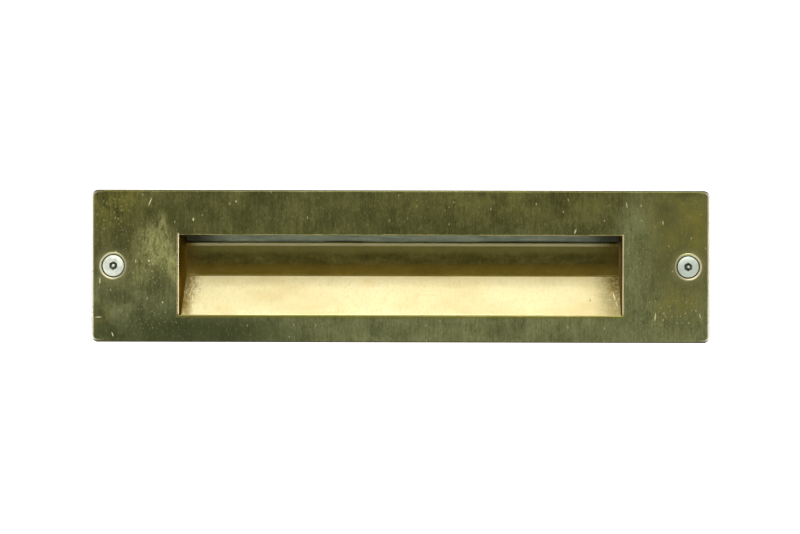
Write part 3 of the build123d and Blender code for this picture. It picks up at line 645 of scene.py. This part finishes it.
def bar_smear_and_shade(g, colour):
    """The hinge bar has smears, painted shade towards its ends, and a painted shadow line from the gap
    along parts of its lower edge.
    """
    smear = g.noise(g.vector((60, 60, 420), (2, 0, 1)), detail=4)
    colour = g.lay(colour, g.step(smear, 0.42, 0.64), 0.45, BAR_SMEAR)
    # Painted shade towards the bar's ends.
    colour = g.lay(colour, g.step(g.size(g.x), 90 * MM, 111 * MM), 0.85, BAR_END_SHADE)
    lower_edge = shaft_low[2] / MM
    # A painted shadow line from the gap between the bar and the flap.
    dirt = g.largest(g.cloud(-29, lower_edge, 15, 1.1), g.cloud(70, lower_edge, 38, 1.2))
    return g.lay(colour, dirt, 0.8, BAR_GAP_SHADOW)


def head_smear_dirt_and_shade(g, colour):
    """The wall screws' heads are smeared, the right one more, with dirt and painted shade in the socket, a
    bare painted highlight spot in it, and painted shade at the edge.
    """
    head_front = screws_low[1]
    on_head = g.step(g.y, head_front + 3.5 * MM, head_front + 3.0 * MM)
    dulled = g.times(g.times(g.rightwards(), 0.7), on_head)
    colour = g.mix(dulled, colour, HEAD_DULL)
    smear = g.noise(g.vector((420, 420, 300), (1, 0, 2)), detail=4, roughness=0.7)
    smear = g.times(g.times(g.step(smear, 0.44, 0.64), 0.55), on_head)
    colour = g.mix(smear, colour, HEAD_SMEAR)

    screw = g.from_screws()
    # Painted shade where the head meets the plate.
    edge = g.step(screw, SCREW_HEAD_RADIUS - 0.34 * MM, SCREW_HEAD_RADIUS - 0.08 * MM)
    # A spot beside the socket's middle, on the outer side, stays bare as a painted highlight; the rest of
    # the socket gets dirt and painted shade.
    socket_highlight_spot = g.from_screws((-0.35 * MM, 0.5 * MM), 0.1 * MM)
    socket = g.times(g.step(screw, 2.35 * MM, 2.15 * MM), g.step(socket_highlight_spot, 0.55 * MM, 1.00 * MM))
    socket = g.times(socket, g.step(g.y, head_front + 0.15 * MM, head_front + 0.5 * MM))
    socket = g.times(socket, on_head)
    return g.lay(colour, g.largest(edge, g.times(socket, 0.80)), 0.92, HEAD_DIRT_AND_SHADE)


def bush_bronze():
    """Sintered bronze: porous and slightly oily."""
    g = Graph("bush_bronze")
    pores = g.noise(g.vector((2400, 2400, 2400)), detail=3, roughness=0.7)
    cloud = g.noise(g.vector((300, 300, 300)), detail=4)
    colour = g.ramp(cloud, [(0.3, (0.36, 0.20, 0.085)), (0.7, (0.52, 0.33, 0.16))])
    colour = g.mix(g.step(pores, 0.58, 0.66), colour, (0.10, 0.055, 0.03))
    roughness = g.weighted((pores, 0.25), start=0.38)
    return g.finish(colour, roughness, g.bump(pores, 0.35, 0.05 * MM))


def black_rubber():
    """Moulded rubber: matt, faintly dusty, with a fine grain."""
    g = Graph("black_rubber")
    grain = g.noise(g.vector((3000, 3000, 3000)), detail=3)
    dust = g.noise(g.vector((90, 90, 90)), detail=6, roughness=0.7)
    colour = g.ramp(grain, [(0.35, (0.012, 0.012, 0.012)), (0.65, (0.030, 0.030, 0.031))])
    colour = g.lay(colour, g.step(dust, 0.48, 0.75), 0.35, (0.085, 0.080, 0.070))
    roughness = g.weighted((dust, 0.25), start=0.62)
    return g.finish(colour, roughness, g.bump(grain, 0.25, 0.06 * MM), metallic=0.0)


# How closely a steel piece's tool lines lie along each axis: round X, round Y, or along the hinge bar.
ACROSS_X = (5200, 90, 90)
ROUND_Y = (700, 90, 700)
ALONG_BAR = (90, 3600, 3600)

plate_material = plate_brass()
flap_material = flap_brass()
hopper_material = hopper_brass()
# The hinge bar and the wall screws get smears, dirt and painted shade.
bar_material = steel(
    "hinge_bar_steel", (0.355, 0.405, 0.270), (0.495, 0.56, 0.380), 0.34, ALONG_BAR, bar_smear_and_shade
)
collar_material = steel("collar_steel", (0.42, 0.43, 0.42), (0.56, 0.57, 0.56), 0.28, ACROSS_X)
wire_material = steel("spring_wire", (0.36, 0.36, 0.37), (0.50, 0.50, 0.50), 0.24, ACROSS_X)
wall_screw_material = steel(
    "wall_screw_steel", (0.66, 0.69, 0.58), (0.80, 0.82, 0.70), 0.42, ROUND_Y, head_smear_dirt_and_shade
)
screw_material = steel("screw_steel", (0.60, 0.615, 0.60), (0.74, 0.75, 0.73), 0.36, ROUND_Y)
bush_material = bush_bronze()
rubber_material = black_rubber()

MATERIALS = {
    "front_plate": plate_material,
    "flap": flap_material,
    "cheek_left": hopper_material,
    "cheek_right": hopper_material,
    "hopper_top": hopper_material,
    "hopper_floor": hopper_material,
    "hinge_shaft": bar_material,
    "spring_collar_left": collar_material,
    "spring_collar_right": collar_material,
    "wall_screws": wall_screw_material,
    "return_spring_left": wire_material,
    "return_spring_right": wire_material,
    "shaft_bush_left": bush_material,
    "shaft_bush_right": bush_material,
    "wall_gasket": rubber_material,
    "stop_buffers": rubber_material,
}

for name, obj in nodes.items():
    obj.data.materials.clear()
    obj.data.materials.append(MATERIALS.get(name, screw_material))


# ---------------------------------------------------------------- finer screws, studs, nuts and springs

SEGMENTS = 48
WIRE_SEGMENTS = 14
RINGS_PER_PITCH = 6
SHARP_ANGLE = math.radians(34)
FULL_TURN = 2 * math.pi
THREAD_DEPTH_OF_PITCH = 0.61


def piece(name, vertices, faces, material):
    """A new mesh object with smooth faces and crisp edges."""
    mesh = bpy.data.meshes.new(name)
    mesh.from_pydata(vertices, [], faces)
    mesh.shade_smooth()
    mesh.set_sharp_from_angle(angle=SHARP_ANGLE)
    mesh.materials.append(material)
    obj = bpy.data.objects.new(name, mesh)
    bpy.context.scene.collection.objects.link(obj)
    return obj


def hexagon(across_flats, angle, corner_at=0.0):
    """Radius of a hexagon at an angle, with one corner at corner_at."""
    sixth = math.pi / 3
    return across_flats / 2 / math.cos((angle - corner_at) % sixth - sixth / 2)


def lathes(places, rings, loop=False):
    """A shell round an axis along +Y at each place (x, z).

    Each ring is a depth along Y and a radius, or a function that gives the radius at an angle.
    A loop joins its last ring to its first; any other shell is closed at both ends.
    """
    vertices, faces = [], []
    last = len(rings) - 1
    for x, z in places:
        first = len(vertices)
        for y, radius in rings:
            for i in range(SEGMENTS):
                angle = FULL_TURN * i / SEGMENTS
                r = radius(angle) if callable(radius) else radius
                vertices.append((x + r * math.sin(angle), y, z + r * math.cos(angle)))
        for k in range(len(rings) if loop else last):
            here = first + k * SEGMENTS
            there = first + ((k + 1) % len(rings)) * SEGMENTS
            for i in range(SEGMENTS):
                j = (i + 1) % SEGMENTS
                faces.append((here + i, there + i, there + j, here + j))
        if not loop:
            faces.append(tuple(first + i for i in range(SEGMENTS)))
            faces.append(tuple(first + last * SEGMENTS + i for i in reversed(range(SEGMENTS))))
    return vertices, faces


def thread_rings(low, high, major, pitch, start_radius, tip_chamfer):
    """Rings of a right-handed V thread that runs in over its first turn and out at a chamfered tip."""
    minor = major - THREAD_DEPTH_OF_PITCH * pitch
    count = round((high - low) / pitch * RINGS_PER_PITCH)
    rings = []
    for k in range(count + 1):
        y = low + (high - low) * k / count
        run_in = min(1.0, (y - low) / pitch)
        root = start_radius + (minor - start_radius) * run_in
        limit = major - max(0.0, y - (high - tip_chamfer))

        def radius(angle, y=y, run_in=run_in, root=root, limit=limit):
            # A V with a narrow flat in its root and a wider one on its crest.
            phase = (y / pitch + angle / FULL_TURN) % 1.0
            ridge = 1 - abs(2 * phase - 1)
            crest = min(1.0, max(0.0, 1.7 * ridge - 0.3))
            return min(limit, root + (major - root) * crest * run_in)

        rings.append((y, radius))
    return rings


def make_wall_screws():
    """M6 screws with a countersunk head, a hexagon socket with a pin in it, and a cut thread."""
    top, tip = screws_low[1], screws_high[1]
    head = SCREW_HEAD_RADIUS
    edge, edge_middle = 0.25 * MM, 0.07 * MM
    land = 0.4 * MM
    neck = 2.7 * MM
    across_flats = 4.0 * MM
    mouth = 0.12 * MM
    floor = 2.4 * MM
    pin = 0.95 * MM
    pin_top = floor - 1.9 * MM
    pin_round = 0.55 * MM
    round_steps = 4
    rings = []
    for i in reversed(range(round_steps + 1)):
        angle = math.pi / 2 * i / round_steps
        depth = pin_top + pin_round * (1 - math.sin(angle))
        rings.append((top + depth, pin - pin_round * (1 - math.cos(angle))))
    rings += [
        (top + floor, pin),
        (top + floor, lambda angle: hexagon(across_flats, angle)),
        (top + mouth, lambda angle: hexagon(across_flats, angle)),
        (top, lambda angle: hexagon(across_flats, angle) + mouth),
        (top, head - edge),
        (top + edge_middle, head - edge_middle),
        (top + edge, head),
        (top + land, head),
        (top + land + head - neck, neck),
    ]
    rings += thread_rings(
        low=0.6 * MM, high=tip, major=3.0 * MM, pitch=1.0 * MM, start_radius=neck, tip_chamfer=0.8 * MM
    )
    vertices, faces = lathes([(-SCREW_X, 0), (SCREW_X, 0)], rings)
    obj = piece("wall_screws_threaded", vertices, faces, wall_screw_material)
    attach(obj, "housing")
    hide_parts("wall_screws")


def corners(box_low, box_high, radius):
    """The four places of the studs, from the box round them all."""
    return [
        (x, z)
        for x in (box_low[0] + radius, box_high[0] - radius)
        for z in (box_low[2] + radius, box_high[2] - radius)
    ]


def make_studs_and_nuts():
    """M4 studs with a cut thread, and hexagon nuts with chamfered corners and a countersunk bore."""
    low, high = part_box("plate_studs")
    radius = 2.0 * MM
    places = corners(low, high, radius)
    nut_low, nut_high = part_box("stud_nuts")
    start = low[1] + 2.2 * MM
    rings = [(low[1], radius), (start, radius)]
    rings += thread_rings(
        low=start, high=high[1], major=radius, pitch=0.7 * MM, start_radius=radius, tip_chamfer=0.5 * MM
    )[1:]
    vertices, faces = lathes(places, rings)
    obj = piece("plate_studs_threaded", vertices, faces, screw_material)
    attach(obj, "housing")
    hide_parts("plate_studs")

    across_flats = nut_high[2] - nut_low[2] - (places[1][1] - places[0][1])
    corner_at = math.pi / 2
    face_of_flats = 0.98
    bore = radius + 0.04 * MM
    countersink = 0.3 * MM
    chamfer_steps = [0.0, 0.12 * MM, 0.24 * MM, 0.36 * MM]

    def flank(depth):
        limit = across_flats / 2 * face_of_flats + depth * math.sqrt(3)
        return lambda angle: min(limit, hexagon(across_flats, angle, corner_at))

    rings = [(nut_low[1] + d, flank(d)) for d in chamfer_steps]
    rings += [(nut_high[1] - d, flank(d)) for d in reversed(chamfer_steps)]
    rings += [
        (nut_high[1], bore + countersink),
        (nut_high[1] - countersink, bore),
        (nut_low[1] + countersink, bore),
        (nut_low[1], bore + countersink),
    ]
    vertices, faces = lathes(places, rings, loop=True)
    obj = piece("stud_nuts_chamfered", vertices, faces, screw_material)
    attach(obj, "housing")
    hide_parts("stud_nuts")


def tube(path, radius):
    """A round wire along a path, with slightly rounded ends."""
    path = [Vector(p) for p in path]
    last = len(path) - 1
    tangents = [(path[min(last, k + 1)] - path[max(0, k - 1)]).normalized() for k in range(len(path))]
    side = tangents[0].orthogonal().normalized()
    rings = []
    for point, tangent in zip(path, tangents):
        side = (side - tangent * side.dot(tangent)).normalized()
        rings.append((point, side.copy(), tangent.cross(side), radius))

    # Each end is a smaller ring, with the full one a little way in behind it.
    blunt = radius * 0.35
    point, side_a, side_b, _ = rings[0]
    rings[0] = (point + tangents[0] * blunt, side_a, side_b, radius)
    rings.insert(0, (point, side_a, side_b, radius - blunt))
    point, side_a, side_b, _ = rings[-1]
    rings[-1] = (point - tangents[-1] * blunt, side_a, side_b, radius)
    rings.append((point, side_a, side_b, radius - blunt))

    vertices, faces = [], []
    for point, side_a, side_b, r in rings:
        for i in range(WIRE_SEGMENTS):
            angle = FULL_TURN * i / WIRE_SEGMENTS
            vertices.append(point + side_a * (r * math.cos(angle)) + side_b * (r * math.sin(angle)))
    last_ring = (len(rings) - 1) * WIRE_SEGMENTS
    for here in range(0, last_ring, WIRE_SEGMENTS):
        there = here + WIRE_SEGMENTS
        for i in range(WIRE_SEGMENTS):
            j = (i + 1) % WIRE_SEGMENTS
            faces.append((here + i, here + j, there + j, there + i))
    faces.append(tuple(reversed(range(WIRE_SEGMENTS))))
    faces.append(tuple(last_ring + i for i in range(WIRE_SEGMENTS)))
    return vertices, faces


def make_spring(side, side_name):
    """A wound wire whose inner leg bears on the cheek's pin and whose outer leg turns with the collar."""
    collar_low, collar_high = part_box(f"spring_collar_{side_name}")
    axis_y = (collar_low[1] + collar_high[1]) / 2
    axis_z = (collar_low[2] + collar_high[2]) / 2
    spring_low, spring_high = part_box(f"return_spring_{side_name}")
    outer_end = max(abs(spring_low[0]), abs(spring_high[0]))
    coil_radius = 5.0 * MM
    wire = 0.5 * MM
    coil_start, coil_end = 121.0 * MM, 130.0 * MM
    inner_leg = 17.5 * MM
    bend = 0.9 * MM
    turns = 6
    coil_steps = turns * 36
    leg_steps = 8
    bend_steps = 6
    full = FULL_TURN * turns
    advance = (coil_end - coil_start) / full

    def on_coil(t):
        return Vector((
            side * (coil_start + advance * t),
            axis_y - coil_radius * math.sin(t),
            axis_z - coil_radius * math.cos(t),
        ))

    back = Vector((-side * advance, coil_radius, 0)).normalized()
    path = [on_coil(0) + back * (inner_leg * (leg_steps - i) / leg_steps) for i in range(leg_steps)]
    last = full - bend / coil_radius
    path += [on_coil(last * i / coil_steps) for i in range(coil_steps + 1)]
    corner = on_coil(full)
    end_of_bend = corner + Vector((side * bend, 0, 0))
    for i in range(1, bend_steps + 1):
        t = i / bend_steps
        path.append(on_coil(last) * (1 - t) ** 2 + corner * (2 * t * (1 - t)) + end_of_bend * t ** 2)
    outer_tip = Vector((side * outer_end, corner.y, corner.z))
    path += [end_of_bend.lerp(outer_tip, t) for t in (0.35, 0.7, 1.0)]
    vertices, faces = tube(path, wire)
    obj = piece(f"return_spring_{side_name}_wire", vertices, faces, wire_material)
    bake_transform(obj)
    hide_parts(f"return_spring_{side_name}")


make_wall_screws()
make_studs_and_nuts()
make_spring(-1, "left")
make_spring(1, "right")


# ---------------------------------------------------------------- stage, light and camera

def stage_sweep():
    """A pale floor that curves up into a backdrop far behind the object."""
    front_y, back_y = -4.0, 2.6
    floor_z, top_z = -0.30, 4.0
    half_width = 4.0
    radius = 0.9
    curve_steps = 24
    profile = [(front_y, floor_z)]
    for i in range(curve_steps + 1):
        angle = math.pi / 2 * i / curve_steps
        y = back_y - radius + radius * math.sin(angle)
        profile.append((y, floor_z + radius - radius * math.cos(angle)))
    profile.append((back_y, top_z))
    vertices = [(x, y, z) for y, z in profile for x in (-half_width, half_width)]
    faces = [(2 * i, 2 * i + 1, 2 * i + 3, 2 * i + 2) for i in range(len(profile) - 1)]
    mesh = bpy.data.meshes.new("stage_sweep")
    mesh.from_pydata(vertices, [], faces)
    mesh.shade_smooth()
    obj = bpy.data.objects.new("stage_sweep", mesh)
    bpy.context.scene.collection.objects.link(obj)
    g = Graph("stage_white")
    paper = g.noise(g.vector((14, 14, 14)), detail=3)
    colour = g.ramp(paper, [(0.3, (0.86, 0.86, 0.86)), (0.7, (0.89, 0.89, 0.89))])
    rays = g.tree.nodes.new("ShaderNodeLightPath")
    g.bsdf.inputs["Emission Color"].default_value = (1, 1, 1, 1)
    g.tree.links.new(rays.outputs["Is Camera Ray"], g.bsdf.inputs["Emission Strength"])
    obj.data.materials.append(g.finish(colour, 0.9, metallic=0.0))


def area_light(name, place, target, width, height, power):
    """A rectangular lamp that shines at a point and isn't seen itself."""
    light = bpy.data.lights.new(name, "AREA")
    light.shape = "RECTANGLE"
    light.size = width
    light.size_y = height
    light.energy = power
    obj = bpy.data.objects.new(name, light)
    bpy.context.scene.collection.objects.link(obj)
    obj.location = place
    obj.rotation_mode = "QUATERNION"
    obj.rotation_quaternion = (Vector(target) - Vector(place)).to_track_quat("-Z", "Y")
    obj.visible_camera = False


def softbox(name, low, high, power):
    """A soft light in front of and above the slot that fills a band of elevation, in degrees."""
    distance, width = 1.8, 1.1
    middle = math.radians((low + high) / 2)
    height = 2 * distance * math.tan(math.radians((high - low) / 2))
    place = (0, PLATE_FRONT - distance * math.cos(middle), distance * math.sin(middle))
    area_light(name, place, (0, PLATE_FRONT, 0), width, height, power)


def side_panel(name, side, power):
    """A soft panel beside the plate that shines on the near end of it."""
    place, target = (side * 0.84, -0.32, 0.02), (side * 0.16, -0.005, 0)
    area_light(name, place, target, width=0.70, height=0.9, power=power)


def studio_world(front, back, seen):
    """Dim in front of the plate and brighter behind it, and plain white where the camera looks past it."""
    world = bpy.data.worlds.new("studio")
    bpy.context.scene.world = world
    world.use_nodes = True
    tree = world.node_tree
    background = tree.nodes["Background"]
    direction = tree.nodes.new("ShaderNodeTexCoord")
    split = tree.nodes.new("ShaderNodeSeparateXYZ")
    level = tree.nodes.new("ShaderNodeMapRange")
    rays = tree.nodes.new("ShaderNodeLightPath")
    choose = tree.nodes.new("ShaderNodeMix")
    tree.links.new(direction.outputs["Generated"], split.inputs[0])
    tree.links.new(split.outputs[1], level.inputs["Value"])
    level.inputs["From Min"].default_value = -1.0
    level.inputs["To Min"].default_value = front
    level.inputs["To Max"].default_value = back
    tree.links.new(rays.outputs["Is Camera Ray"], choose.inputs["Factor"])
    tree.links.new(level.outputs[0], choose.inputs["A"])
    choose.inputs["B"].default_value = seen
    tree.links.new(choose.outputs["Result"], background.inputs["Strength"])
    background.inputs["Color"].default_value = (1, 1, 1, 1)


stage_sweep()
softbox("key_softbox", low=35.5, high=48, power=33)
softbox("top_softbox", low=48, high=62, power=6)
side_panel("left_panel", side=-1, power=3.2)
side_panel("right_panel", side=1, power=3.5)
studio_world(front=0.10, back=0.22, seen=1.0)

CAMERA_DISTANCE = 0.95
CAMERA_SIDE = 0.05
FRAME_SIDE = 0.35 * MM
FRAME_LIFT = 0.20 * MM
FRAME_ROLL = math.radians(-0.14)
VIEW_WIDTH = 0.42
SENSOR_WIDTH = 36.0

camera_data = bpy.data.cameras.new("camera")
camera_data.sensor_width = SENSOR_WIDTH
camera_data.lens = SENSOR_WIDTH * CAMERA_DISTANCE / VIEW_WIDTH
camera_data.shift_x = -CAMERA_SIDE / VIEW_WIDTH
camera_data.clip_start = 0.01
camera_data.clip_end = 50
camera = bpy.data.objects.new("camera", camera_data)
bpy.context.scene.collection.objects.link(camera)
camera.location = (CAMERA_SIDE - FRAME_SIDE, PLATE_FRONT - CAMERA_DISTANCE, -FRAME_LIFT)
camera.rotation_euler = (math.pi / 2, FRAME_ROLL, 0)
bpy.context.scene.camera = camera
bpy.context.scene.view_settings.view_transform = "Standard"
